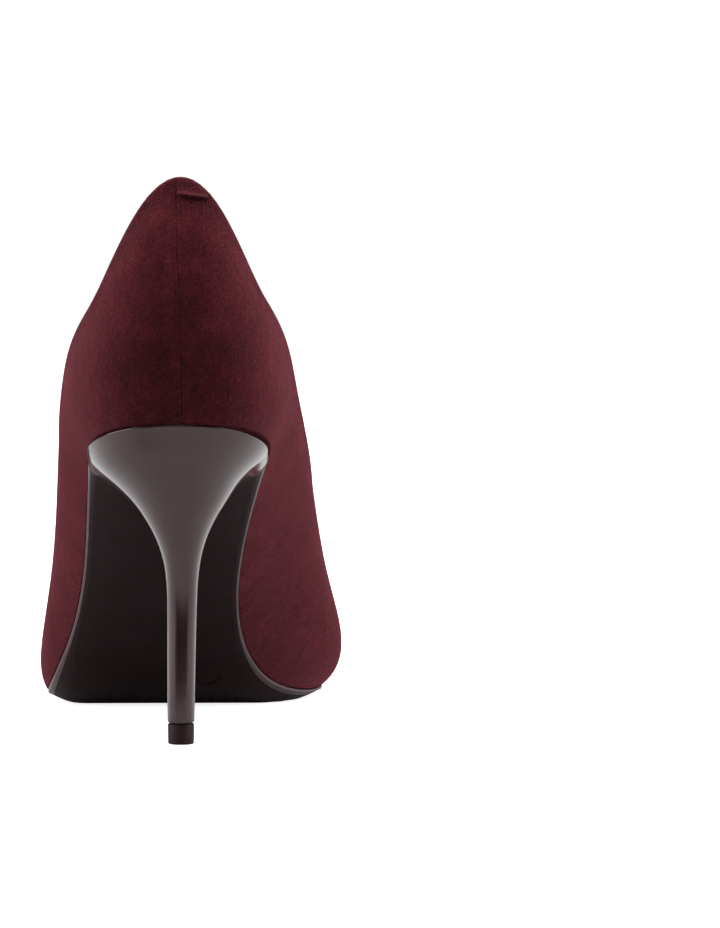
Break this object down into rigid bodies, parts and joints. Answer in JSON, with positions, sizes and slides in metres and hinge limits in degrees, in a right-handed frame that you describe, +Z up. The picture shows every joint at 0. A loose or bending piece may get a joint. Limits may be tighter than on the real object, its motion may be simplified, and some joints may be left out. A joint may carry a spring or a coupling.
{
  "type": "high heel pump",
  "caption": "Slip-on high heel pump for the left foot with a pointed closed toe, a napped upper, a thin sole and a slim tapered heel.",
  "frame": {"origin": "bottom centre of the whole shoe's bounding box, on the ground plane", "axes": "+Y from the heel to the toe, +X to the inner (medial) side of the left foot, +Z up"},
  "size_m": [0.0866, 0.2258, 0.1522],
  "materials": {
    "suede": "brushed nap suede",
    "tape": "woven tape",
    "counter": "pressed stiffener sheet",
    "backing": "woven interlining",
    "lining": "smooth lining leather",
    "grip": "napped lining leather",
    "board": "pressed fibre board",
    "steel": "plain steel",
    "rivet": "plated rivet",
    "filler": "cork filler sheet",
    "foam": "latex foam",
    "outsole": "satin dark brown",
    "heel": "gloss dark brown lacquer",
    "top_piece": "satin dark brown"
  },
  "bodies": {
    "root": {"upper": "suede", "topline_tape": "tape", "heel_counter": "counter", "vamp_backing": "backing", "toe_puff": "counter", "quarter_lining": "lining", "vamp_lining": "lining", "heel_grip": "grip", "back_tab": "suede", "insole_board": "board", "shank_board": "board", "shank": "steel", "forepart_filler": "filler", "ball_pad": "foam", "heel_pad": "foam", "sock_lining": "lining", "outsole": "outsole", "heel": "heel", "heel_tube": "steel", "top_piece": "top_piece", "top_piece_pin": "steel", "heel_screw": "steel", "heel_nail_back_lateral": "steel", "heel_nail_back_medial": "steel", "heel_nail_front_lateral": "steel", "heel_nail_front_medial": "steel", "shank_rivet_rear": "rivet", "shank_rivet_front": "rivet"}
  },
  "joints": []
}
